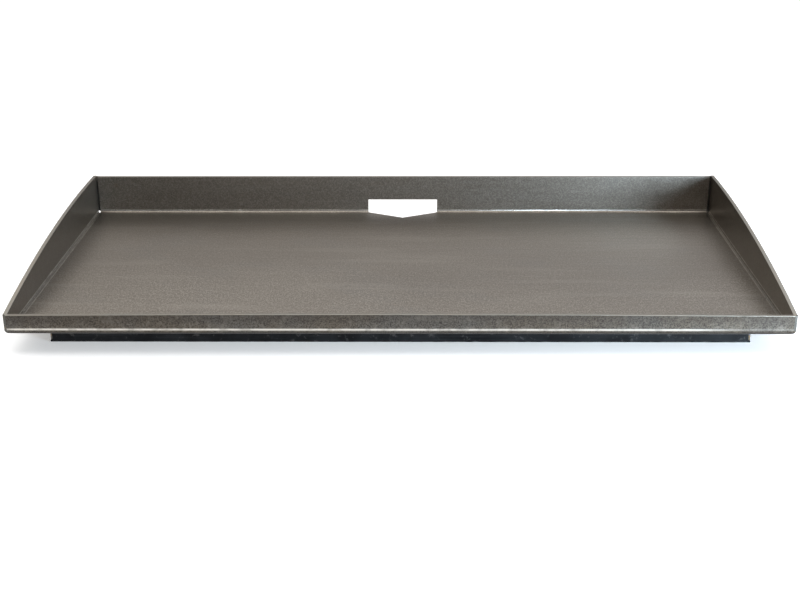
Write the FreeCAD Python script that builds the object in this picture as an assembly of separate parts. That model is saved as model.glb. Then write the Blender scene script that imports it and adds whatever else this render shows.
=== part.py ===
"""Flat top griddle.

One sheet of heavy carbon steel plate is bent up on all four sides: a low lip in front, a tall
splash at the back and a curved guard on each side. A drain opening is cut through the foot of
the splash. A mitred frame of angle bar and three flat stiffeners are stitch-welded underneath.

Millimetres. X runs along the width, +Y towards the splash, +Z up. The origin is the centre of
the footprint, on the plane the frame stands on.
"""

import FreeCAD
import Part

import math
import os

Vector = FreeCAD.Vector

# Bent plate
PLATE_WIDTH = 914.4  # 36 in over the guards
PLATE_DEPTH = 457.2  # 18 in from the lip face to the back of the splash
PLATE_THICKNESS = 4.76  # 3/16 in
BEND_RADIUS = 3.2  # 1/8 in, inside of every bend
SPLASH_HEIGHT = 54.2  # heights are above the cooking surface
LIP_HEIGHT = 20.4  # at the two ends of the lip
LIP_CROWN = 1.6  # extra height of the lip at its middle
GUARD_ARC_RADIUS = 2300.0  # top edge of a guard, seen from the side
GUARD_PEAK_SETBACK = 400.0  # highest point of that arc, behind the lip face

# Corners of the plate
FRONT_CORNER_ROUNDING = 1.75  # ground vertical edge
FRONT_WELD_LEG = 3.4  # groove of the front corner weld, along each outer face
BACK_SEAM_GAP = 2.5  # between the end of the splash and the guard
BACK_WELD_DEPTH = 1.6  # bead laid into the seam from outside
BACK_WELD_OVERLAP = 1.8  # bead face beyond each side of the seam
BACK_WELD_CAP = 6.0  # top of the seam, filled right through
BACK_WELD_START = 2.5  # above the underside of the floor
RELIEF_DIAMETER = 3.6  # hole where the back and side bends meet
RELIEF_SKIN = 2.5  # open depth of the right relief, above the weld metal that has run into it
RELIEF_SIDEWAYS, RELIEF_BACK, RELIEF_DOWN = 0.35, 0.88, 0.33  # direction of the hole

# Drain opening
DRAIN_WIDTH = 101.6  # 4 in
DRAIN_HEIGHT = 19.05  # 3/4 in above the cooking surface
DRAIN_NOTCH_DEPTH = 25.4  # V cut into the floor
DRAIN_SHOULDER = 1.0  # start of the V, in front of the splash

# Frame of angle bar under the plate
FRAME_INSET = 40.0  # from the plate outline on all four sides
ANGLE_LEG = 25.4  # 1 in
ANGLE_THICKNESS = 3.18  # 1/8 in
ANGLE_ROOT_RADIUS = 3.2
ANGLE_TOE_RADIUS = 1.6
MITRE_WELD_LEG = 2.6
MITRE_WELD_ROUNDING = 1.2
MITRE_WELD_CLEARANCE = 2.0  # bead stops this far above the standing plane

# Flat bar stiffeners, on edge
STIFFENER_THICKNESS = 4.76
STIFFENER_HEIGHT = 19.05
STIFFENER_SPACING = 208.6
STIFFENER_END_GAP = 1.5  # to the toe of the rail

# Stitch welds
STITCH_LENGTH = 32.0
STITCH_LEG = 4.0
TOE_STITCH_LEG = 2.8
LONG_RAIL_STITCHES = (4, 5)  # along the outer corner, along the toe of the flat leg
LONG_RAIL_PITCH = 170.0
SHORT_RAIL_STITCHES = (3, 2)
SHORT_RAIL_PITCH = 130.0
STIFFENER_STITCHES = (3, 2)  # on its two faces
STIFFENER_PITCH = 120.0

FLOOR_UNDERSIDE = ANGLE_LEG
FLOOR_TOP = FLOOR_UNDERSIDE + PLATE_THICKNESS
HALF_WIDTH = PLATE_WIDTH / 2
HALF_DEPTH = PLATE_DEPTH / 2
INNER_HALF_WIDTH = HALF_WIDTH - PLATE_THICKNESS
INNER_HALF_DEPTH = HALF_DEPTH - PLATE_THICKNESS
FRAME_HALF_WIDTH = HALF_WIDTH - FRAME_INSET
FRAME_HALF_DEPTH = HALF_DEPTH - FRAME_INSET
MARGIN = 1.0  # cutting tools run past the metal by this much
ABOVE_EVERYTHING = FLOOR_TOP + 80.0

SIN_45 = math.sin(math.radians(45))


def outline_face(steps, place):
    """Face inside a closed outline.

    Each step is (u, v) for a straight run to that corner, or (u, v, mid_u, mid_v) for an arc
    through the middle point. place(u, v) turns a pair into a point in space.
    """
    edges = []
    here = place(*steps[-1][:2])
    for step in steps:
        there = place(*step[:2])
        if len(step) == 2:
            edges.append(Part.LineSegment(here, there).toShape())
        else:
            edges.append(Part.Arc(here, place(*step[2:]), there).toShape())
        here = there
    return Part.Face(Part.Wire(edges))


def block(x_from, x_to, y_from, y_to, z_from, z_to):
    """Rectangular block between two corners."""
    corner = Vector(x_from, y_from, z_from)
    return Part.makeBox(x_to - x_from, y_to - y_from, z_to - z_from, corner)


def upright_prism(corners, z_from, z_to):
    """Prism on a polygon drawn in plan."""
    face = outline_face(corners, lambda x, y: Vector(x, y, z_from))
    return face.extrude(Vector(0, 0, z_to - z_from))


def pan_section(half_span, floor, radius):
    """Outline of a flat-bottomed pan with rounded lower corners."""
    bulge = radius * (1 - SIN_45)
    return [
        (-half_span, ABOVE_EVERYTHING),
        (-half_span, floor + radius),
        (-half_span + radius, floor, -half_span + bulge, floor + bulge),
        (half_span - radius, floor),
        (half_span, floor + radius, half_span - bulge, floor + bulge),
        (half_span, ABOVE_EVERYTHING),
    ]


def pan_block(half_width, half_depth, floor, radius):
    """Solid pan whose four lower edges are rounded and meet in mitres."""
    lengthwise = outline_face(
        pan_section(half_depth, floor, radius), lambda y, z: Vector(-half_width, y, z)
    ).extrude(Vector(2 * half_width, 0, 0))
    crosswise = outline_face(
        pan_section(half_width, floor, radius), lambda x, z: Vector(x, -half_depth, z)
    ).extrude(Vector(0, 2 * half_depth, 0))
    return lengthwise.common(crosswise)


def above_guard(side):
    """Everything above the curved top edge of one guard."""
    def edge_height(y):
        offset = y + HALF_DEPTH - GUARD_PEAK_SETBACK
        return math.sqrt(GUARD_ARC_RADIUS**2 - offset**2)

    base = FLOOR_TOP + LIP_HEIGHT - edge_height(-HALF_DEPTH)
    front, back = -HALF_DEPTH - MARGIN, HALF_DEPTH + MARGIN
    face = outline_face(
        [
            (front, ABOVE_EVERYTHING + MARGIN),
            (front, base + edge_height(front)),
            (back, base + edge_height(back), 0, base + edge_height(0)),
            (back, ABOVE_EVERYTHING + MARGIN),
        ],
        lambda y, z: Vector(side * INNER_HALF_WIDTH, y, z),
    )
    return face.extrude(Vector(side * (PLATE_THICKNESS + MARGIN), 0, 0))


def above_lip():
    """Everything above the slightly crowned top edge of the lip, between the guards."""
    end = FLOOR_TOP + LIP_HEIGHT
    face = outline_face(
        [
            (-INNER_HALF_WIDTH, ABOVE_EVERYTHING + MARGIN),
            (-INNER_HALF_WIDTH, end),
            (INNER_HALF_WIDTH, end, 0, end + LIP_CROWN),
            (INNER_HALF_WIDTH, ABOVE_EVERYTHING + MARGIN),
        ],
        lambda x, z: Vector(x, -HALF_DEPTH - MARGIN, z),
    )
    return face.extrude(Vector(0, HALF_DEPTH, 0))


def above_splash():
    """Everything above the splash, between the guards."""
    return block(
        -INNER_HALF_WIDTH, INNER_HALF_WIDTH,
        0, HALF_DEPTH + MARGIN,
        FLOOR_TOP + SPLASH_HEIGHT, ABOVE_EVERYTHING + MARGIN,
    )


def rounded_plan():
    """Upright block on the plate outline, its two front corners rounded."""
    plan = block(-HALF_WIDTH, HALF_WIDTH, -HALF_DEPTH, HALF_DEPTH, 0, ABOVE_EVERYTHING)
    front_edges = [
        edge for edge in plan.Edges
        if edge.BoundBox.ZLength > MARGIN and edge.BoundBox.YMax < 0
    ]
    return plan.makeFillet(FRONT_CORNER_ROUNDING, front_edges)


def plate_envelope():
    """Solid inside the outer faces of the plate."""
    return pan_block(
        HALF_WIDTH, HALF_DEPTH, FLOOR_UNDERSIDE, BEND_RADIUS + PLATE_THICKNESS
    ).common(rounded_plan())


def bent_sheet():
    """The plate before its seams, reliefs and drain are cut."""
    inside = pan_block(INNER_HALF_WIDTH, INNER_HALF_DEPTH, FLOOR_TOP, BEND_RADIUS)
    sheet = plate_envelope().cut(inside)
    for trim in (above_guard(-1), above_guard(1), above_lip(), above_splash()):
        sheet = sheet.cut(trim)
    return sheet


def drain_opening():
    """Slot through the foot of the splash, running into a V notch in the floor."""
    half = DRAIN_WIDTH / 2
    shoulder = INNER_HALF_DEPTH - DRAIN_SHOULDER
    return upright_prism(
        [
            (-half, HALF_DEPTH + MARGIN),
            (-half, shoulder),
            (0, shoulder - DRAIN_NOTCH_DEPTH),
            (half, shoulder),
            (half, HALF_DEPTH + MARGIN),
        ],
        FLOOR_UNDERSIDE - MARGIN, FLOOR_TOP + DRAIN_HEIGHT,
    )


def back_seam(side):
    """Open seam between the end of the splash and one guard."""
    inner, outer = INNER_HALF_WIDTH - BACK_SEAM_GAP, INNER_HALF_WIDTH
    return block(
        min(side * inner, side * outer), max(side * inner, side * outer),
        INNER_HALF_DEPTH - MARGIN, HALF_DEPTH + MARGIN,
        FLOOR_TOP, ABOVE_EVERYTHING,
    )


def relief_hole(side, start):
    """Corner relief, running out through the lower back corner.

    It starts at the given distance beyond the inside corner.
    """
    inset = RELIEF_DIAMETER / 4
    direction = Vector(side * RELIEF_SIDEWAYS, RELIEF_BACK, -RELIEF_DOWN)
    mouth = Vector(
        side * (INNER_HALF_WIDTH - inset), INNER_HALF_DEPTH - inset, FLOOR_TOP + inset
    )
    return Part.makeCylinder(
        RELIEF_DIAMETER / 2, 5 * RELIEF_DIAMETER, mouth + direction * start, direction
    )


def back_weld_groove(side):
    """Groove of the back corner weld: wide at the back face, narrow at its root.

    At the top of the seam the weld runs right through to the inside.
    """
    middle = side * (INNER_HALF_WIDTH - BACK_SEAM_GAP / 2)
    root = BACK_SEAM_GAP / 2
    face = root + BACK_WELD_OVERLAP
    top = FLOOR_TOP + SPLASH_HEIGHT
    groove = upright_prism(
        [
            (middle - face, HALF_DEPTH + MARGIN),
            (middle - face, HALF_DEPTH),
            (middle - root, HALF_DEPTH - BACK_WELD_DEPTH),
            (middle + root, HALF_DEPTH - BACK_WELD_DEPTH),
            (middle + face, HALF_DEPTH),
            (middle + face, HALF_DEPTH + MARGIN),
        ],
        FLOOR_UNDERSIDE + BACK_WELD_START, top,
    )
    cap = block(
        middle - root, middle + root, INNER_HALF_DEPTH, HALF_DEPTH, top - BACK_WELD_CAP, top
    )
    return groove.fuse(cap)


def front_corner_groove(side):
    """Wedge cut out of one front corner for its weld."""
    return upright_prism(
        [
            (side * (HALF_WIDTH + MARGIN), -HALF_DEPTH - MARGIN),
            (side * (HALF_WIDTH + MARGIN), -HALF_DEPTH + FRONT_WELD_LEG),
            (side * HALF_WIDTH, -HALF_DEPTH + FRONT_WELD_LEG),
            (side * (HALF_WIDTH - FRONT_WELD_LEG), -HALF_DEPTH),
            (side * (HALF_WIDTH - FRONT_WELD_LEG), -HALF_DEPTH - MARGIN),
        ],
        0, ABOVE_EVERYTHING,
    )


def angle_section():
    """Outline of the angle bar: upright leg outside, flat leg on top."""
    leg, web, root, toe = ANGLE_LEG, ANGLE_THICKNESS, ANGLE_ROOT_RADIUS, ANGLE_TOE_RADIUS
    toe_bulge, root_bulge = toe * (1 - SIN_45), root * (1 - SIN_45)
    under = leg - web
    return [
        (0, 0),
        (web - toe, 0),
        (web, toe, web - toe_bulge, toe_bulge),
        (web, under - root),
        (web + root, under, web + root_bulge, under - root_bulge),
        (leg - toe, under),
        (leg, under + toe, leg - toe_bulge, under + toe_bulge),
        (leg, leg),
        (0, leg),
    ]


def mitred_rail(half_length):
    """Angle bar along X, outer face on y = 0 facing -Y, both ends cut at 45 degrees."""
    bar = outline_face(
        angle_section(), lambda y, z: Vector(-half_length, y, z)
    ).extrude(Vector(2 * half_length, 0, 0))
    short = half_length - ANGLE_LEG
    mitres = upright_prism(
        [(-half_length, 0), (half_length, 0), (short, ANGLE_LEG), (-short, ANGLE_LEG)],
        0, ANGLE_LEG,
    )
    return bar.common(mitres)


def fillet_bead(start, end, leg, toward):
    """Short weld bead with round ends, filling the inside corner along start-end.

    toward holds the signs of the two directions the bead swells in, as a vector with a zero
    along the bead.
    """
    along = (end - start).normalize()
    bead = Part.makeCylinder(leg, (end - start).Length, start, along)
    for tip in (start, end):
        bead = bead.fuse(Part.makeSphere(leg, tip))
    reach = leg + MARGIN
    first = start - along * reach
    last = end + along * reach + toward * reach
    corner = block(
        min(first.x, last.x), max(first.x, last.x),
        min(first.y, last.y), max(first.y, last.y),
        min(first.z, last.z), max(first.z, last.z),
    )
    return bead.common(corner).removeSplitter()


def stitches(middles, y, leg, outward):
    """Row of beads along X on the plate underside, at the given middles."""
    half = STITCH_LENGTH / 2 - leg
    return [
        fillet_bead(
            Vector(middle - half, y, FLOOR_UNDERSIDE),
            Vector(middle + half, y, FLOOR_UNDERSIDE),
            leg,
            Vector(0, outward, -1),
        )
        for middle in middles
    ]


def evenly(count, pitch):
    """Positions of a centred row."""
    return [(index - (count - 1) / 2) * pitch for index in range(count)]


def rail_stitches(outer_count, inner_count, pitch):
    """Beads of one rail: outer corner, and staggered ones along the toe of its flat leg."""
    outer = stitches(evenly(outer_count, pitch), 0, STITCH_LEG, -1)
    inner = stitches(evenly(inner_count, pitch), ANGLE_LEG, TOE_STITCH_LEG, 1)
    return Part.makeCompound(outer + inner)


def stiffener():
    """Flat bar on edge, running front to back between the rails."""
    half_length = FRAME_HALF_DEPTH - ANGLE_LEG - STIFFENER_END_GAP
    half_web = STIFFENER_THICKNESS / 2
    return block(
        -half_web, half_web, -half_length, half_length,
        FLOOR_UNDERSIDE - STIFFENER_HEIGHT, FLOOR_UNDERSIDE,
    )


def stiffener_stitches():
    """Beads on both faces of a stiffener, staggered, laid out along X before turning."""
    half_web = STIFFENER_THICKNESS / 2
    left_count, right_count = STIFFENER_STITCHES
    left = stitches(evenly(left_count, STIFFENER_PITCH), half_web, STITCH_LEG, 1)
    right = stitches(evenly(right_count, STIFFENER_PITCH), -half_web, STITCH_LEG, -1)
    return turned(Part.makeCompound(left + right), 90)


def mitre_weld_block(x_side, y_side, rounding):
    """Wedge at one outer corner of the frame, its outer edge rounded."""
    corner_x, corner_y = x_side * FRAME_HALF_WIDTH, y_side * FRAME_HALF_DEPTH
    wedge = upright_prism(
        [
            (corner_x, corner_y),
            (corner_x - x_side * MITRE_WELD_LEG, corner_y),
            (corner_x, corner_y - y_side * MITRE_WELD_LEG),
        ],
        MITRE_WELD_CLEARANCE, ANGLE_LEG,
    )
    if not rounding:
        return wedge
    outer = [
        edge for edge in wedge.Edges
        if edge.BoundBox.ZLength > MARGIN
        and abs(edge.CenterOfMass.x - corner_x) < 1e-6
        and abs(edge.CenterOfMass.y - corner_y) < 1e-6
    ]
    return wedge.makeFillet(rounding, outer)


def turned(shape, degrees):
    """Copy of a shape, turned about the vertical axis."""
    copy = shape.copy()
    copy.rotate(Vector(0, 0, 0), Vector(0, 0, 1), degrees)
    return copy


def moved(shape, x, y):
    """Copy of a shape, shifted in plan."""
    copy = shape.copy()
    copy.translate(Vector(x, y, 0))
    return copy


def plate_and_corner_welds():
    """The finished plate and the four beads at its corners.

    The left relief hole stays open. On the right the bead has run into it.
    """
    sheet = bent_sheet().cut(drain_opening())
    envelope = plate_envelope()
    parts = {}
    for side, name in ((-1, "left"), (1, "right")):
        groove = front_corner_groove(side)
        parts[f"front_{name}_corner_weld"] = sheet.common(groove)
        sheet = sheet.cut(groove)

        groove = back_weld_groove(side)
        hole = relief_hole(side, -RELIEF_DIAMETER)
        bead = envelope.common(groove)
        if side < 0:
            bead = bead.cut(hole)
        else:
            bead = bead.fuse(envelope.common(relief_hole(side, RELIEF_SKIN)))
        parts[f"back_{name}_corner_weld"] = bead.removeSplitter()
        sheet = sheet.cut(back_seam(side)).cut(groove).cut(hole)
    parts["griddle_plate"] = sheet
    return parts


def frame_parts():
    """Rails, mitre welds and stitch welds of the frame."""
    long_rail = mitred_rail(FRAME_HALF_WIDTH)
    short_rail = mitred_rail(FRAME_HALF_DEPTH)
    long_stitches = rail_stitches(*LONG_RAIL_STITCHES, LONG_RAIL_PITCH)
    short_stitches = rail_stitches(*SHORT_RAIL_STITCHES, SHORT_RAIL_PITCH)
    places = {
        "front": (long_rail, long_stitches, 0, 0, -FRAME_HALF_DEPTH),
        "rear": (long_rail, long_stitches, 180, 0, FRAME_HALF_DEPTH),
        "left": (short_rail, short_stitches, -90, -FRAME_HALF_WIDTH, 0),
        "right": (short_rail, short_stitches, 90, FRAME_HALF_WIDTH, 0),
    }
    corners = {
        f"{y_name}_{x_name}": (x_side, y_side)
        for y_side, y_name in ((-1, "front"), (1, "rear"))
        for x_side, x_name in ((-1, "left"), (1, "right"))
    }
    parts = {}
    for name, (rail, beads, degrees, x, y) in places.items():
        placed = moved(turned(rail, degrees), x, y)
        for x_side, y_side in corners.values():
            placed = placed.cut(mitre_weld_block(x_side, y_side, 0))
        parts[f"{name}_rail"] = placed
        parts[f"{name}_rail_stitch_welds"] = moved(turned(beads, degrees), x, y)
    for name, (x_side, y_side) in corners.items():
        parts[f"frame_{name}_mitre_weld"] = mitre_weld_block(
            x_side, y_side, MITRE_WELD_ROUNDING
        )
    return parts


def stiffener_parts():
    """The three stiffeners and their beads."""
    parts = {}
    for place, name in ((-1, "left"), (0, "middle"), (1, "right")):
        x = place * STIFFENER_SPACING
        parts[f"{name}_stiffener"] = moved(stiffener(), x, 0)
        parts[f"{name}_stiffener_stitch_welds"] = moved(stiffener_stitches(), x, 0)
    return parts


os.makedirs("parts", exist_ok=True)
for node, shape in {**plate_and_corner_welds(), **frame_parts(), **stiffener_parts()}.items():
    shape.exportStep(f"parts/{node}.step")
    box = shape.BoundBox
    print(
        f"{node}: {len(shape.Solids)} solid(s), valid {shape.isValid()}, "
        f"x {box.XMin:.1f}..{box.XMax:.1f} y {box.YMin:.1f}..{box.YMax:.1f} "
        f"z {box.ZMin:.1f}..{box.ZMax:.1f}"
    )
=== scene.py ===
"""Flat top griddle: materials, weld beads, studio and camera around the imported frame.

Metres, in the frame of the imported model: +X along the width, +Y towards the splash, +Z up.
"""

import math
import random

import bmesh
import bpy
from mathutils import Matrix, Vector


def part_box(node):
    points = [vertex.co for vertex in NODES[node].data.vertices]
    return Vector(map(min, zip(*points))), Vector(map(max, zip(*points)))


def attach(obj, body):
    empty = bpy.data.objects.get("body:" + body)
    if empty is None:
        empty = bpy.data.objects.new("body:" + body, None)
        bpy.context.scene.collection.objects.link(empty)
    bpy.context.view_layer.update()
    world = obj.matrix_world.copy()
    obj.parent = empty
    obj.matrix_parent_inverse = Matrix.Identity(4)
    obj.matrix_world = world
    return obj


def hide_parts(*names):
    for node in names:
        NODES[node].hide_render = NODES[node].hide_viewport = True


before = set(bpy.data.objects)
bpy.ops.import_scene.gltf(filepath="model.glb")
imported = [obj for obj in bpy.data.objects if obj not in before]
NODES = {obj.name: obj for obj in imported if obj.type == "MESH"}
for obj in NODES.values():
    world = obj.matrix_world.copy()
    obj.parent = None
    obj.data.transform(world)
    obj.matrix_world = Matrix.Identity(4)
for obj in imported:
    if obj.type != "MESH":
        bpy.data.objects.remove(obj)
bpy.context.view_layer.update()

MM = 0.001

# Sheet of the plate, as modelled
THICKNESS = 4.76 * MM
BEND_INSIDE = 3.2 * MM
BEND_OUTSIDE = BEND_INSIDE + THICKNESS

PLATE_LOW, PLATE_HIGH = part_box("griddle_plate")
FLOOR_UNDERSIDE = PLATE_LOW.z
FLOOR_TOP = FLOOR_UNDERSIDE + THICKNESS
HALF_WIDTH = PLATE_HIGH.x
HALF_DEPTH = PLATE_HIGH.y
INNER_WIDTH = HALF_WIDTH - THICKNESS
INNER_DEPTH = HALF_DEPTH - THICKNESS

# Camera
CAMERA_PLACE = (0.0207, -1.5690, 0.6063)
CAMERA_PITCH = 21.80  # degrees below the horizon
CAMERA_TURN = -0.81  # degrees towards +X
CAMERA_ROLL = 0.25
CAMERA_LENS = 56.88
SENSOR_WIDTH = 36.0
CAMERA_CLIP = (0.01, 50.0)

# Edge rounding of cut and sawn edges
PLATE_EDGE = 0.5 * MM
BAR_EDGE = 0.4 * MM
WELD_EDGE = 0.2 * MM
SHARP_ANGLE = math.radians(30)

# Sorting the faces of the sheet
FACE_TOLERANCE = 0.2 * MM
SEAM_REACH = 3.4 * MM
LIP_HEIGHT = 20.4 * MM
LIP_TOP = FLOOR_TOP + LIP_HEIGHT
RIM_REACH = 1.6 * MM  # cut faces this close to the top of the plate are rims
LIP_RIM_REACH = 0.3 * MM  # and so are those in a front corner this close to the top of the lip
MERGE_DISTANCE = 0.001 * MM
PLATE_FLAT_ANGLE = math.radians(0.5)
BAR_FLAT_ANGLE = math.radians(0.6)

# Weld beads
RIPPLE_PITCH = 2.1 * MM
RIPPLE_DEPTH = 0.14
RIPPLE_BOW = 0.45  # how far each ripple curves back across the bead, in ripples
BEAD_STEP = 0.42 * MM
BEAD_ARC = 10  # faces across a bead
BEAD_KNOTS = 7  # places where its width changes
BEAD_SHRINK = 0.08  # greatest share by which a knot is narrower
BEAD_TIP = 0.02  # share of its width left at the very end
BEAD_FEWEST_STEPS = 8
BEAD_SHARP_ANGLE = math.radians(50)
SPATTER_PER_STITCH = 7
SPATTER_REACH = 14.0 * MM
SPATTER_RADIUS = (0.25 * MM, 0.75 * MM)
SPATTER_SQUASH = 0.7
SPATTER_SINK = 0.2  # share of its radius that a drop's centre lies below the underside

# Colours of steel, linear
WARM_STEEL = (0.285, 0.258, 0.222)
COOL_STEEL = (0.255, 0.255, 0.248)
PALE_STEEL = (0.430, 0.400, 0.355)
DARK_STEEL = (0.170, 0.150, 0.130)
BARE_STEEL = (0.560, 0.540, 0.500)
# BURNISHED_AND_HIGHLIGHT also serves as a painted highlight on the inside bend lines.
BURNISHED_AND_HIGHLIGHT = (0.820, 0.800, 0.760)
EDGE_STEEL = (0.250, 0.240, 0.215)
# RUBBED_AND_HIGHLIGHT_STEEL also serves as a painted highlight along the outside bend lines.
RUBBED_AND_HIGHLIGHT_STEEL = (0.600, 0.570, 0.520)
GROUND_STEEL = (0.120, 0.115, 0.104)
RUST_STAIN = (0.200, 0.130, 0.080)
SCALE_BROWN = (0.152, 0.130, 0.104)
SCALE_GREY = (0.148, 0.139, 0.126)
SCALE_DARK = (0.036, 0.030, 0.026)
SCALE_PALE = (0.208, 0.188, 0.160)
BAR_BLUE = (0.018, 0.019, 0.021)
BAR_BLACK = (0.009, 0.009, 0.010)
BAR_GREY = (0.043, 0.045, 0.048)
BAR_BARE = (0.200, 0.190, 0.180)
# Painted shade in the seams, with weld soot.
SOOT_AND_SEAM_SHADE = ((0.010, 0.009, 0.008), (0.030, 0.026, 0.023))
WELD_GREY = (0.200, 0.190, 0.175)
STRAW_TINT = (0.300, 0.210, 0.110)
BLUE_TINT = (0.070, 0.090, 0.150)

# Light of the room
SKY_RISE = (0.18, 0.80)
SKY_HORIZON = (0.20, 0.20, 0.21)
SKY_TOP = (1.75, 1.75, 1.75)
SKY_LEFT = (0.66, 0.63, 0.59)
SKY_RIGHT = (0.74, 0.75, 0.78)
SKY_FRONT = (0.46, 0.46, 0.46)
SKY_BACK = (1.38, 1.38, 1.38)
SKY_BELOW = (0.80, 0.79, 0.77)
SKY_STRENGTH = 1.0
STUDIO_REACH = 6.0
STUDIO_GREYS = ((0.86, 0.86, 0.86), (0.88, 0.88, 0.88))
FLOOR_GLOW = 0.35

# Softboxes: place, point aimed at, width and height, watts, colour
SOFTBOXES = {
    "overhead": ((0.0, -0.3, 1.7), (0.0, 0.0, 0.0), (2.2, 1.2), 14.0, (1.0, 0.985, 0.96)),
    "front": ((0.0, -2.5, 0.85), (0.0, 0.0, 0.0), (1.4, 0.7), 5.5, (1.0, 0.99, 0.97)),
    "cool_side": ((0.95, -0.95, 0.20), (0.42, -0.25, 0.03), (0.45, 0.30), 28.0, (0.68, 0.85, 1.0)),
}


# ---------------------------------------------------------------- shader graphs


class Graph:
    """A material's node tree, with short calls for the nodes used here."""

    def __init__(self, name):
        self.material = bpy.data.materials.new(name)
        self.material.use_nodes = True
        self.tree = self.material.node_tree
        self.tree.nodes.clear()
        self.place = self.add("ShaderNodeTexCoord").outputs["Object"]

    def add(self, kind, **settings):
        node = self.tree.nodes.new(kind)
        for name, value in settings.items():
            setattr(node, name, value)
        return node

    def feed(self, socket, value):
        if isinstance(value, bpy.types.NodeSocket):
            self.tree.links.new(value, socket)
        else:
            socket.default_value = value

    def math(self, operation, first, second=0.0):
        node = self.add("ShaderNodeMath", operation=operation)
        self.feed(node.inputs[0], first)
        self.feed(node.inputs[1], second)
        return node.outputs[0]

    def axes(self):
        node = self.add("ShaderNodeSeparateXYZ")
        self.feed(node.inputs[0], self.place)
        return node.outputs["X"], node.outputs["Y"], node.outputs["Z"]

    def stretched(self, scale, turn=0.0, shift=(0.0, 0.0, 0.0)):
        """Object position turned about the vertical and scaled along each axis."""
        turned = self.add("ShaderNodeMapping")
        self.feed(turned.inputs["Vector"], self.place)
        turned.inputs["Rotation"].default_value = (0.0, 0.0, turn)
        turned.inputs["Location"].default_value = shift
        scaled = self.add("ShaderNodeMapping")
        self.feed(scaled.inputs["Vector"], turned.outputs[0])
        scaled.inputs["Scale"].default_value = scale
        return scaled.outputs[0]

    def noise(self, scale, detail=4.0, roughness=0.55, where=None):
        node = self.add("ShaderNodeTexNoise")
        self.feed(node.inputs["Vector"], self.place if where is None else where)
        node.inputs["Scale"].default_value = scale
        node.inputs["Detail"].default_value = detail
        node.inputs["Roughness"].default_value = roughness
        return node.outputs["Fac"]

    def ramp(self, value, low, high, bottom=0.0, top=1.0):
        """Smooth step of a value between low and high."""
        node = self.add("ShaderNodeMapRange", interpolation_type="SMOOTHSTEP")
        for socket, number in zip(node.inputs, (value, low, high, bottom, top)):
            self.feed(socket, number)
        return node.outputs[0]

    def mix(self, amount, first, second):
        node = self.add("ShaderNodeMix", data_type="RGBA")
        self.feed(node.inputs[0], amount)
        for socket, value in zip(node.inputs[6:8], (first, second)):
            self.feed(socket, (*value, 1.0) if isinstance(value, tuple) else value)
        return node.outputs[2]

    def bump(self, height, distance, strength=1.0):
        node = self.add("ShaderNodeBump")
        self.feed(node.inputs["Height"], height)
        node.inputs["Distance"].default_value = distance
        node.inputs["Strength"].default_value = strength
        return node.outputs[0]

    def line(self, value, centre, half_width):
        """1 on a line where value equals centre, falling to 0 at half_width from it."""
        away = self.math("ABSOLUTE", self.math("SUBTRACT", value, centre))
        return self.ramp(away, half_width, 0.0)

    def scratches(self, turn, density, shift):
        """Thin broken lines at one angle in plan. density lies between 0 and 1."""
        field = self.noise(1.0, detail=2.0, where=self.stretched((9.0, 1300.0, 1300.0), turn, shift))
        patches = self.noise(7.0, detail=2.0, where=self.stretched((1.0, 1.0, 1.0), turn, shift))
        lines = self.ramp(field, 0.74 - 0.1 * density, 0.80 - 0.1 * density)
        return self.math("MULTIPLY", lines, self.ramp(patches, 0.45, 0.62))

    def largest(self, *values):
        result = values[0]
        for value in values[1:]:
            result = self.math("MAXIMUM", result, value)
        return result

    def product(self, *values):
        result = values[0]
        for value in values[1:]:
            result = self.math("MULTIPLY", result, value)
        return result

    def finish(self, colour, roughness, normal, metallic=1.0):
        shader = self.add("ShaderNodeBsdfPrincipled")
        self.feed(shader.inputs["Base Color"], colour)
        self.feed(shader.inputs["Roughness"], roughness)
        self.feed(shader.inputs["Metallic"], metallic)
        self.feed(shader.inputs["Normal"], normal)
        output = self.add("ShaderNodeOutputMaterial")
        self.tree.links.new(shader.outputs[0], output.inputs["Surface"])
        return self.material


def brake_marks_and_highlights(g):
    """Burnished lines that the brake left along both edges of every inside bend, painted bright as
    highlights, with painted glints.
    """
    x, y, z = g.axes()
    x, y = g.math("ABSOLUTE", x), g.math("ABSOLUTE", y)
    low = g.ramp(z, FLOOR_TOP + 0.9 * MM, FLOOR_TOP + 0.4 * MM)
    marks = []
    for across, wall, strength in ((x, INNER_WIDTH, 0.7), (y, INNER_DEPTH, 1.0)):
        at_wall = g.ramp(across, wall - 0.9 * MM, wall - 0.4 * MM)
        on_wall = g.product(g.line(z, FLOOR_TOP + BEND_INSIDE, 1.3 * MM), at_wall)
        on_floor = g.product(g.line(across, wall - BEND_INSIDE, 1.1 * MM), low)
        marks += [g.math("MULTIPLY", mark, strength) for mark in (on_wall, on_floor)]
    patchy = g.ramp(g.noise(60.0, detail=3.0), 0.30, 0.62, 0.40, 0.9)
    # Painted glints: bright specks along the lines.
    painted_glints = g.ramp(g.noise(34.0, detail=2.0), 0.68, 0.72, 0.0, 1.6)
    return g.product(g.largest(*marks), g.math("ADD", patchy, painted_glints))


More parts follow.
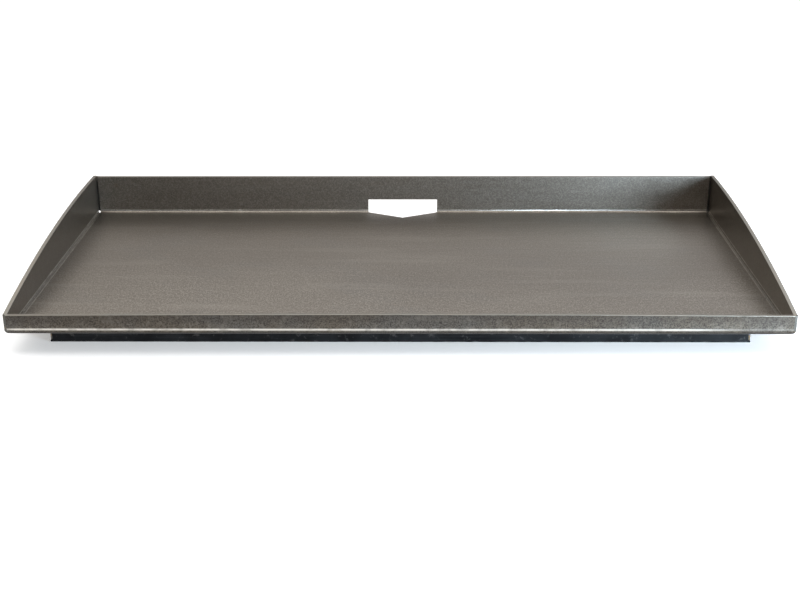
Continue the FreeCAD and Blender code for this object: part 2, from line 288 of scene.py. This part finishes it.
def cooking_surface():
    """Inside of the pan: satin ground steel, warm grey, with rolling streaks and light scuffs."""
    g = Graph("cooking_surface")
    clouds = g.ramp(g.noise(7.0, detail=3.0), 0.32, 0.68)
    drawn = g.stretched((0.7, 1.3, 1.0), 0.4, (3.1, 1.7, 0.0))
    cool = g.ramp(g.noise(11.0, detail=2.0, where=drawn), 0.5, 0.7)
    mottle = g.noise(1.0, detail=4.0, roughness=0.7, where=g.stretched((400.0, 220.0, 400.0)))
    grain = g.noise(1.0, detail=3.0, roughness=0.8, where=g.stretched((760.0, 400.0, 760.0)))
    dust = g.noise(2600.0, detail=2.0)
    streaks = g.noise(1.0, detail=4.0, roughness=0.65, where=g.stretched((10.0, 260.0, 260.0)))
    wipes = g.noise(1.0, detail=2.0, where=g.stretched((4.0, 34.0, 34.0), 0.03, (0.4, 0.2, 0.0)))
    scuffs = g.largest(
        g.scratches(0.06, 0.3, (0.0, 0.0, 0.0)),
        g.scratches(1.35, 0.1, (1.3, 0.4, 0.0)),
        g.scratches(-0.5, 0.0, (2.1, 3.2, 0.0)),
    )
    stains = g.ramp(g.noise(46.0, detail=3.0, roughness=0.6), 0.70, 0.80)

    colour = g.mix(clouds, WARM_STEEL, tuple(0.90 * c for c in WARM_STEEL))
    colour = g.mix(g.math("MULTIPLY", cool, 0.55), colour, COOL_STEEL)
    colour = g.mix(g.ramp(mottle, 0.38, 0.62), colour, PALE_STEEL)
    colour = g.mix(g.ramp(grain, 0.42, 0.66), colour, DARK_STEEL)
    colour = g.mix(g.ramp(dust, 0.35, 0.70, 0.0, 0.30), colour, DARK_STEEL)
    colour = g.mix(g.ramp(streaks, 0.48, 0.72, 0.0, 0.08), colour, DARK_STEEL)
    colour = g.mix(g.ramp(wipes, 0.52, 0.72, 0.0, 0.25), colour, PALE_STEEL)
    colour = g.mix(g.math("MULTIPLY", stains, 0.35), colour, RUST_STAIN)
    # Painted shade: the middle and back are darker, and so are the inner faces of the guards.
    x, y = g.axes()[:2]
    drift = g.ramp(g.noise(5.0, detail=2.0), 0.3, 0.7, -0.05, 0.05)
    painted_back_shade = g.ramp(g.math("ADD", y, drift), -0.17, 0.05, 0.0, 0.42)
    colour = g.mix(painted_back_shade, colour, DARK_STEEL)
    across = g.math("ABSOLUTE", x)
    painted_guard_shade = g.ramp(across, INNER_WIDTH - 1.0 * MM, INNER_WIDTH - 0.2 * MM, 0.0, 0.6)
    colour = g.mix(painted_guard_shade, colour, DARK_STEEL)
    colour = g.mix(g.math("MULTIPLY", scuffs, 0.5), colour, BARE_STEEL)
    # Brake lines, burnished and painted bright as highlights.
    marks = brake_marks_and_highlights(g)
    colour = g.mix(g.math("MULTIPLY", marks, 0.95), colour, BURNISHED_AND_HIGHLIGHT)

    roughness = g.ramp(streaks, 0.2, 0.8, 0.33, 0.40)
    roughness = g.math("ADD", roughness, g.ramp(mottle, 0.3, 0.7, -0.03, 0.04))
    roughness = g.math("SUBTRACT", roughness, g.math("MULTIPLY", marks, 0.12))
    height = g.math("ADD", g.math("MULTIPLY", streaks, 0.12), g.math("MULTIPLY", grain, 0.3))
    height = g.math("SUBTRACT", height, g.math("MULTIPLY", scuffs, 0.5))
    return g.finish(colour, roughness, g.bump(height, 0.05 * MM, 0.5))


def scale_side():
    """Outside of the pan: mill side of the sheet, dark, grainy and worn along the bends, with painted
    highlights along the bends, painted shade on the lower part of the bends and painted shade towards the
    top.
    """
    g = Graph("scale_side")
    x, y, z = g.axes()
    # The painted highlight on the bend lines fades out towards the right end.
    faded = g.ramp(x, 0.33, 0.40, 1.0, 0.15)
    clouds = g.ramp(g.noise(16.0, detail=4.0), 0.35, 0.65)
    speckle = g.noise(620.0, detail=5.0, roughness=0.75)
    flecks = g.ramp(g.noise(120.0, detail=5.0, roughness=0.7), 0.50, 0.66)
    fine = g.noise(2200.0, detail=2.0)
    runs = g.noise(1.0, detail=3.0, where=g.stretched((8.0, 8.0, 150.0)))
    scuffs = g.largest(g.scratches(0.02, 0.2, (0.6, 0.0, 0.0)), g.scratches(1.5, 0.1, (2.2, 0.9, 0.0)))

    colour = g.mix(clouds, SCALE_BROWN, SCALE_GREY)
    colour = g.mix(g.ramp(speckle, 0.36, 0.68), colour, SCALE_DARK)
    colour = g.mix(g.ramp(fine, 0.30, 0.70, 0.0, 0.4), colour, SCALE_DARK)
    colour = g.mix(g.math("MULTIPLY", flecks, 0.35), colour, SCALE_PALE)
    colour = g.mix(g.ramp(runs, 0.55, 0.75, 0.0, 0.25), colour, SCALE_PALE)
    # Painted shade: darker towards the top of the outside faces.
    painted_top_shade = g.ramp(z, FLOOR_TOP + 2.0 * MM, FLOOR_TOP + 17.0 * MM, 0.0, 0.42)
    colour = g.mix(painted_top_shade, colour, SCALE_DARK)
    colour = g.mix(g.math("MULTIPLY", scuffs, 0.4), colour, WARM_STEEL)

    # Shoulders of the brake die rub the scale off along both edges of every outside bend; these lines are
    # also painted bright as highlights, faded out towards the right end.
    x, y = g.math("ABSOLUTE", x), g.math("ABSOLUTE", y)
    die_lines_and_highlights = [g.line(z, FLOOR_UNDERSIDE + BEND_OUTSIDE - 0.3 * MM, 2.1 * MM)]
    for across, wall in ((x, HALF_WIDTH), (y, HALF_DEPTH)):
        under = g.ramp(z, FLOOR_UNDERSIDE + 1.0 * MM, FLOOR_UNDERSIDE + 0.5 * MM)
        die_lines_and_highlights.append(g.product(g.line(across, wall - BEND_OUTSIDE, 1.6 * MM), under))
    patchy = g.ramp(g.noise(90.0, detail=4.0), 0.30, 0.56, 0.55, 1.0)
    rubbed_and_highlight = g.product(g.largest(*die_lines_and_highlights), patchy, faded)
    # Painted shade on the lower part of the outside bends.
    painted_bend_shade = g.product(
        g.ramp(z, FLOOR_UNDERSIDE + 5.5 * MM, FLOOR_UNDERSIDE + 2.0 * MM, 0.0, 0.75),
        g.ramp(z, FLOOR_UNDERSIDE, FLOOR_UNDERSIDE + 0.8 * MM),
    )
    colour = g.mix(painted_bend_shade, colour, SCALE_DARK)
    colour = g.mix(g.math("MULTIPLY", rubbed_and_highlight, 0.95), colour, RUBBED_AND_HIGHLIGHT_STEEL)

    roughness = g.ramp(speckle, 0.3, 0.7, 0.46, 0.60)
    roughness = g.math("SUBTRACT", roughness, g.math("MULTIPLY", rubbed_and_highlight, 0.16))
    height = g.math("ADD", g.math("MULTIPLY", speckle, 0.8), g.math("MULTIPLY", flecks, -0.4))
    return g.finish(colour, roughness, g.bump(height, 0.10 * MM, 0.6))


def cut_edge():
    """Cut and deburred edges of the sheet: satin, with fine upright striations."""
    g = Graph("cut_edge")
    lines = g.noise(1.0, detail=2.0, where=g.stretched((1600.0, 1600.0, 60.0)))
    grain = g.noise(500.0, detail=4.0)
    dull = g.ramp(g.noise(24.0, detail=3.0), 0.38, 0.66)
    colour = g.mix(g.ramp(grain, 0.3, 0.7), EDGE_STEEL, tuple(1.15 * c for c in EDGE_STEEL))
    colour = g.mix(g.math("MULTIPLY", dull, 0.6), colour, WARM_STEEL)
    colour = g.mix(g.ramp(lines, 0.55, 0.8, 0.0, 0.35), colour, DARK_STEEL)
    roughness = g.ramp(grain, 0.3, 0.7, 0.34, 0.46)
    return g.finish(colour, roughness, g.bump(lines, 0.04 * MM, 0.6))


def seam_shadow():
    """Unwelded faces inside seams and reliefs, painted black as shade of the narrow gaps, with scale and
    weld soot.
    """
    g = Graph("seam_shadow")
    soot_and_shade = g.noise(300.0, detail=4.0)
    colour = g.mix(soot_and_shade, *SOOT_AND_SEAM_SHADE)
    return g.finish(colour, 0.85, g.bump(soot_and_shade, 0.1 * MM, 0.5), metallic=0.2)


def black_bar():
    """Hot-rolled bar: blue-black scale, flaked in places and rubbed along its foot."""
    g = Graph("black_bar")
    height_up = g.axes()[2]
    clouds = g.ramp(g.noise(34.0, detail=5.0), 0.36, 0.66)
    flakes = g.ramp(g.noise(150.0, detail=5.0, roughness=0.7), 0.58, 0.66)
    grain = g.noise(800.0, detail=4.0, roughness=0.75)
    runs = g.noise(1.0, detail=3.0, where=g.stretched((12.0, 12.0, 260.0)))
    colour = g.mix(clouds, BAR_BLUE, BAR_BLACK)
    colour = g.mix(g.ramp(runs, 0.50, 0.75, 0.0, 0.35), colour, BAR_GREY)
    colour = g.mix(g.math("MULTIPLY", flakes, 0.22), colour, BAR_BARE)
    foot = g.ramp(height_up, 1.6 * MM, 0.2 * MM)
    worn = g.product(foot, g.ramp(g.noise(70.0, detail=4.0), 0.40, 0.58))
    colour = g.mix(g.math("MULTIPLY", worn, 0.5), colour, BAR_BARE)
    roughness = g.ramp(grain, 0.3, 0.7, 0.36, 0.52)
    roughness = g.math("ADD", roughness, g.math("MULTIPLY", flakes, 0.12))
    height = g.math("SUBTRACT", g.math("MULTIPLY", grain, 0.4), flakes)
    return g.finish(colour, roughness, g.bump(height, 0.08 * MM, 0.6), metallic=0.85)


def ground_weld():
    """Weld metal ground flush: dull, with coarse grinder marks, open pores and a straw tint."""
    g = Graph("ground_weld")
    marks = g.noise(1.0, detail=3.0, roughness=0.7, where=g.stretched((1500.0, 1500.0, 110.0), 0.5))
    pores = g.ramp(g.noise(520.0, detail=2.0), 0.70, 0.76)
    tint = g.noise(80.0, detail=2.0)
    colour = g.mix(g.ramp(marks, 0.3, 0.7), GROUND_STEEL, tuple(0.75 * c for c in GROUND_STEEL))
    colour = g.mix(g.ramp(tint, 0.52, 0.68, 0.0, 0.35), colour, STRAW_TINT)
    colour = g.mix(pores, colour, SCALE_DARK)
    roughness = g.ramp(marks, 0.3, 0.7, 0.44, 0.60)
    height = g.math("SUBTRACT", marks, pores)
    return g.finish(colour, roughness, g.bump(height, 0.06 * MM, 0.8))


def raw_weld():
    """Weld bead as laid: grey oxide with straw and blue heat tint and specks of slag."""
    g = Graph("raw_weld")
    tint = g.noise(140.0, detail=3.0)
    slag = g.ramp(g.noise(420.0, detail=4.0, roughness=0.7), 0.58, 0.66)
    fine = g.noise(1400.0, detail=3.0)
    colour = g.mix(g.ramp(tint, 0.40, 0.52), WELD_GREY, STRAW_TINT)
    colour = g.mix(g.ramp(tint, 0.54, 0.66), colour, BLUE_TINT)
    colour = g.mix(g.math("MULTIPLY", slag, 0.8), colour, SCALE_DARK)
    roughness = g.ramp(fine, 0.3, 0.7, 0.32, 0.50)
    return g.finish(colour, roughness, g.bump(fine, 0.04 * MM, 0.6))


# ---------------------------------------------------------------- plate


def side_of_sheet(point):
    """Which face of the bent sheet a point lies on: "inside", "outside" or "cut"."""
    across_x = HALF_WIDTH - abs(point.x)
    across_y = HALF_DEPTH - abs(point.y)
    above = point.z - FLOOR_UNDERSIDE

    def depth(across):
        """Distance in from the outer face, round the bend where there is one."""
        reach_across, reach_up = BEND_OUTSIDE - across, BEND_OUTSIDE - above
        if reach_across > 0 and reach_up > 0:
            return BEND_OUTSIDE - math.hypot(reach_across, reach_up)
        return min(across, above)

    nearest = min(depth(across_x), depth(across_y))
    if nearest > THICKNESS - FACE_TOLERANCE:
        return "inside"
    if nearest < FACE_TOLERANCE:
        return "outside"
    return "cut"


def in_seam(point):
    """Whether a cut face belongs to a corner seam, groove or relief."""
    near_side = abs(point.x) > INNER_WIDTH - SEAM_REACH
    at_back = point.y > INNER_DEPTH - SEAM_REACH
    at_front = point.y < -INNER_DEPTH
    rim = point.z > PLATE_HIGH.z - RIM_REACH
    groove = at_front and abs(point.x) > INNER_WIDTH and point.z < LIP_TOP - LIP_RIM_REACH
    return groove or (near_side and at_back and not rim)


def griddle_sheet():
    """The bent sheet with its cut edges rounded over."""
    bm = bmesh.new()
    bm.from_mesh(NODES["griddle_plate"].data)
    bmesh.ops.remove_doubles(bm, verts=bm.verts, dist=MERGE_DISTANCE)

    order = ("inside", "outside", "cut", "seam")
    for face in bm.faces:
        centre = face.calc_center_median()
        side = side_of_sheet(centre)
        if side == "cut" and in_seam(centre):
            side = "seam"
        face.material_index = order.index(side)
        face.smooth = True
    bmesh.ops.dissolve_limit(
        bm, angle_limit=PLATE_FLAT_ANGLE, verts=bm.verts, edges=bm.edges, delimit={"MATERIAL"}
    )

    cut, seam = order.index("cut"), order.index("seam")
    rims = []
    for edge in bm.edges:
        kinds = {face.material_index for face in edge.link_faces}
        if cut in kinds and seam not in kinds and len(kinds) == 2:
            rims.append(edge)
    bmesh.ops.bevel(
        bm, geom=rims, offset=PLATE_EDGE, segments=3, profile=0.5, affect="EDGES",
        clamp_overlap=False, material=cut,
    )
    for face in bm.faces:
        face.smooth = True

    for vert in bm.verts:
        for axis in range(3):
            vert.co[axis] = min(max(vert.co[axis], PLATE_LOW[axis]), PLATE_HIGH[axis])

    mesh = bpy.data.meshes.new("griddle_sheet")
    bm.to_mesh(mesh)
    bm.free()
    for material in (cooking_surface(), scale_side(), cut_edge(), seam_shadow()):
        mesh.materials.append(material)
    mesh.set_sharp_from_angle(angle=SHARP_ANGLE)
    sheet = bpy.data.objects.new("griddle_sheet", mesh)
    bpy.context.scene.collection.objects.link(sheet)
    normals = sheet.modifiers.new("normals", "WEIGHTED_NORMAL")
    normals.keep_sharp = True
    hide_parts("griddle_plate")
    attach(sheet, "root")


# ---------------------------------------------------------------- frame bars


def soften_edges(obj, width):
    """Joins the facets of a carried-over node and rounds its sharp edges."""
    join = obj.modifiers.new("join", "WELD")
    join.merge_threshold = MERGE_DISTANCE
    flat = obj.modifiers.new("flat", "DECIMATE")
    flat.decimate_type = "DISSOLVE"
    flat.angle_limit = BAR_FLAT_ANGLE
    bevel = obj.modifiers.new("bevel", "BEVEL")
    bevel.width = width
    bevel.segments = 3
    bevel.limit_method = "ANGLE"
    bevel.angle_limit = SHARP_ANGLE
    bevel.harden_normals = True


def dress(names, material, width):
    """Gives carried-over nodes one material and rounded edges."""
    for name in names:
        obj = NODES[name]
        obj.data.materials.clear()
        obj.data.materials.append(material)
        soften_edges(obj, width)


# ---------------------------------------------------------------- weld beads


def ripple(distance, turn, wobble):
    """Relative height of a bead along its length; turn runs from 0 to 1 across it."""
    bow = RIPPLE_BOW * math.sin(math.pi * turn)
    phase = (distance / RIPPLE_PITCH + bow + wobble) % 1.0
    return 1.0 - RIPPLE_DEPTH * (1.0 - phase) ** 2


def add_bead(bm, root, along, first, second, length, leg, seed):
    """Rippled bead of quarter-round section with tapering ends.

    root is the middle of the inside corner; first and second point along the two faces.
    """
    chance = random.Random(seed)
    wobble = chance.random()
    swell = [1.0 - BEAD_SHRINK * chance.random() for _ in range(BEAD_KNOTS)]
    steps = max(BEAD_FEWEST_STEPS, round(length / BEAD_STEP))
    rings = []
    for i in range(steps + 1):
        share = i / steps
        distance = (share - 0.5) * length
        from_end = min(share, 1.0 - share) * length
        taper = math.sqrt(max(0.0, 1.0 - max(0.0, 1.0 - from_end / leg) ** 2))
        knot = share * (BEAD_KNOTS - 1)
        low = min(int(knot), BEAD_KNOTS - 2)
        size = swell[low] + (swell[low + 1] - swell[low]) * (knot - low)
        ring = [bm.verts.new(root + along * distance)]
        for j in range(BEAD_ARC + 1):
            turn = j / BEAD_ARC
            reach = leg * size * max(taper, BEAD_TIP) * ripple(distance, turn, wobble)
            angle = turn * math.pi / 2
            ring.append(
                bm.verts.new(
                    root + along * distance
                    + first * (reach * math.cos(angle)) + second * (reach * math.sin(angle))
                )
            )
        rings.append(ring)
    count = BEAD_ARC + 2
    for near, far in zip(rings, rings[1:]):
        for j in range(count):
            k = (j + 1) % count
            bm.faces.new((near[j], near[k], far[k], far[j]))
    bm.faces.new(rings[0])
    bm.faces.new(list(reversed(rings[-1])))


def islands(node):
    """Corners of the box round each separate solid of a node, with its lowest point."""
    bm = bmesh.new()
    bm.from_mesh(NODES[node].data)
    bmesh.ops.remove_doubles(bm, verts=bm.verts, dist=MERGE_DISTANCE)
    left = set(bm.verts)
    found = []
    while left:
        stack = [left.pop()]
        group = list(stack)
        while stack:
            for edge in stack.pop().link_edges:
                for vert in edge.verts:
                    if vert in left:
                        left.remove(vert)
                        stack.append(vert)
                        group.append(vert)
        points = [vert.co.copy() for vert in group]
        low = Vector([min(p[axis] for p in points) for axis in range(3)])
        high = Vector([max(p[axis] for p in points) for axis in range(3)])
        found.append((low, high, min(points, key=lambda p: p.z)))
    bm.free()
    return sorted(found, key=lambda box: (round(box[0].x, 4), round(box[0].y, 4)))


def welded_piece(name, node, bm, material):
    """Turns finished bead geometry into a piece that stands for its node."""
    bmesh.ops.recalc_face_normals(bm, faces=bm.faces)
    for face in bm.faces:
        face.smooth = len(face.verts) == 4
    mesh = bpy.data.meshes.new(name)
    bm.to_mesh(mesh)
    bm.free()
    mesh.set_sharp_from_angle(angle=BEAD_SHARP_ANGLE)
    mesh.materials.append(material)
    piece = bpy.data.objects.new(name, mesh)
    bpy.context.scene.collection.objects.link(piece)
    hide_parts(node)
    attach(piece, "root")


def stitch_beads(node, material):
    """Rippled beads in place of the plain quarter-round stitches of a node."""
    bm = bmesh.new()
    for index, (low, high, lowest) in enumerate(islands(node)):
        middle, size = (low + high) / 2, high - low
        lengthwise, sideways = (0, 1) if size.x > size.y else (1, 0)
        along, first = Vector((0, 0, 0)), Vector((0, 0, 0))
        along[lengthwise] = 1.0
        first[sideways] = 1.0 if lowest[sideways] < middle[sideways] else -1.0
        root = middle.copy()
        root[sideways] = low[sideways] if first[sideways] > 0 else high[sideways]
        root.z = high.z
        seed = f"{node} {index}"
        add_bead(bm, root, along, first, Vector((0, 0, -1)), size[lengthwise], size.z, seed)
    welded_piece(f"{node}_rippled", node, bm, material)


def mitre_bead(node, material):
    """Rippled upright bead on one outer corner of the frame."""
    low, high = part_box(node)
    middle, size = (low + high) / 2, high - low
    first = Vector((math.copysign(1.0, middle.x), 0, 0))
    second = Vector((0, math.copysign(1.0, middle.y), 0))
    root = middle - first * (size.x / 2) - second * (size.y / 2)
    bm = bmesh.new()
    add_bead(bm, root, Vector((0, 0, 1)), first, second, size.z, size.x, node)
    welded_piece(f"{node}_rippled", node, bm, material)


def spatter(material):
    """Small beads of spatter stuck to the underside beside the stitches."""
    chance = random.Random("spatter")
    bm = bmesh.new()
    for node in sorted(n for n in NODES if n.endswith("stitch_welds")):
        for low, high, _ in islands(node):
            for _ in range(SPATTER_PER_STITCH):
                x = chance.uniform(low.x - SPATTER_REACH, high.x + SPATTER_REACH)
                y = chance.uniform(low.y - SPATTER_REACH, high.y + SPATTER_REACH)
                radius = chance.uniform(*SPATTER_RADIUS)
                squash = Matrix.Diagonal((1.0, 1.0, SPATTER_SQUASH, 1.0))
                place = Matrix.Translation((x, y, FLOOR_UNDERSIDE - SPATTER_SINK * radius))
                bmesh.ops.create_icosphere(bm, subdivisions=2, radius=radius, matrix=place @ squash)
    for face in bm.faces:
        face.smooth = True
    mesh = bpy.data.meshes.new("weld_spatter")
    bm.to_mesh(mesh)
    bm.free()
    mesh.materials.append(material)
    piece = bpy.data.objects.new("weld_spatter", mesh)
    bpy.context.scene.collection.objects.link(piece)
    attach(piece, "root")


griddle_sheet()
dress(sorted(n for n in NODES if n.endswith(("_rail", "_stiffener"))), black_bar(), BAR_EDGE)
dress(sorted(n for n in NODES if n.endswith("_corner_weld")), ground_weld(), WELD_EDGE)
bead_metal = raw_weld()
for node in sorted(NODES):
    if node.endswith("_stitch_welds"):
        stitch_beads(node, bead_metal)
    elif node.endswith("_mitre_weld"):
        mitre_bead(node, bead_metal)
spatter(bead_metal)


# ---------------------------------------------------------------- studio


def studio_floor():
    """Pale seamless floor with a faint glow of its own, seen through from below."""
    mesh = bpy.data.meshes.new("studio_floor")
    reach = STUDIO_REACH
    corners = [(-reach, -reach, 0), (reach, -reach, 0), (reach, reach, 0), (-reach, reach, 0)]
    mesh.from_pydata(corners, [], [(0, 1, 2, 3)])
    floor = bpy.data.objects.new("studio_floor", mesh)
    bpy.context.scene.collection.objects.link(floor)
    g = Graph("studio_floor")
    tone = g.noise(3.0, detail=2.0)
    colour = g.mix(tone, *STUDIO_GREYS)
    mesh.materials.append(g.finish(colour, 0.9, g.bump(tone, 0.0), metallic=0.0))
    tree = g.tree
    output = next(n for n in tree.nodes if n.type == "OUTPUT_MATERIAL")
    shader = next(n for n in tree.nodes if n.type == "BSDF_PRINCIPLED")
    clear = g.add("ShaderNodeBsdfTransparent")
    choice = g.add("ShaderNodeMixShader")
    shader.inputs["Emission Color"].default_value = (1.0, 1.0, 1.0, 1.0)
    shader.inputs["Emission Strength"].default_value = FLOOR_GLOW
    tree.links.new(g.add("ShaderNodeNewGeometry").outputs["Backfacing"], choice.inputs[0])
    tree.links.new(shader.outputs[0], choice.inputs[1])
    tree.links.new(clear.outputs[0], choice.inputs[2])
    tree.links.new(choice.outputs[0], output.inputs["Surface"])


def surroundings():
    """Soft room light: bright above, dimmer at the horizon, warm on the left, cool on the right."""
    world = bpy.data.worlds.new("studio")
    world.use_nodes = True
    bpy.context.scene.world = world
    tree = world.node_tree
    background = tree.nodes["Background"]
    direction = tree.nodes.new("ShaderNodeTexCoord").outputs["Generated"]
    split = tree.nodes.new("ShaderNodeSeparateXYZ")
    tree.links.new(direction, split.inputs[0])

    def ramp(value, low, high):
        node = tree.nodes.new("ShaderNodeMapRange")
        node.interpolation_type = "SMOOTHSTEP"
        tree.links.new(value, node.inputs[0])
        node.inputs[1].default_value, node.inputs[2].default_value = low, high
        return node.outputs[0]

    def mix(amount, first, second, blend="MIX"):
        node = tree.nodes.new("ShaderNodeMix")
        node.data_type, node.blend_type = "RGBA", blend
        for socket, value in zip((node.inputs[0], node.inputs[6], node.inputs[7]), (amount, first, second)):
            if isinstance(value, bpy.types.NodeSocket):
                tree.links.new(value, socket)
            else:
                socket.default_value = value if isinstance(value, float) else (*value, 1.0)
        return node.outputs[2]

    height = mix(ramp(split.outputs["Z"], *SKY_RISE), SKY_HORIZON, SKY_TOP)
    sides = mix(ramp(split.outputs["X"], -0.7, 0.9), SKY_LEFT, SKY_RIGHT)
    ends = mix(ramp(split.outputs["Y"], -0.7, 0.7), SKY_FRONT, SKY_BACK)
    sky = mix(1.0, mix(1.0, height, sides, "MULTIPLY"), ends, "MULTIPLY")
    sky = mix(ramp(split.outputs["Z"], -0.02, -0.30), sky, SKY_BELOW)
    tree.links.new(sky, background.inputs["Color"])
    background.inputs["Strength"].default_value = SKY_STRENGTH


def softbox(name, place, aim, size, power, colour):
    """Rectangular light turned towards a point."""
    light = bpy.data.lights.new(name, "AREA")
    light.shape = "RECTANGLE"
    light.size, light.size_y = size
    light.energy = power
    light.color = colour
    obj = bpy.data.objects.new(name, light)
    obj.location = place
    direction = Vector(aim) - Vector(place)
    obj.rotation_euler = direction.to_track_quat("-Z", "Y").to_euler()
    bpy.context.scene.collection.objects.link(obj)


def camera():
    """Camera in front of the lip, looking down into the pan."""
    lens = bpy.data.cameras.new("camera")
    lens.lens = CAMERA_LENS
    lens.sensor_width = SENSOR_WIDTH
    lens.clip_start, lens.clip_end = CAMERA_CLIP
    obj = bpy.data.objects.new("camera", lens)
    turn = Matrix.Rotation(math.radians(-CAMERA_TURN), 4, "Z")
    pitch = Matrix.Rotation(math.radians(90.0 - CAMERA_PITCH), 4, "X")
    roll = Matrix.Rotation(math.radians(-CAMERA_ROLL), 4, "Z")
    obj.matrix_world = Matrix.Translation(CAMERA_PLACE) @ turn @ pitch @ roll
    bpy.context.scene.collection.objects.link(obj)
    bpy.context.scene.camera = obj


studio_floor()
surroundings()
for name, settings in SOFTBOXES.items():
    softbox(name, *settings)
camera()
bpy.context.scene.view_settings.view_transform = "Standard"
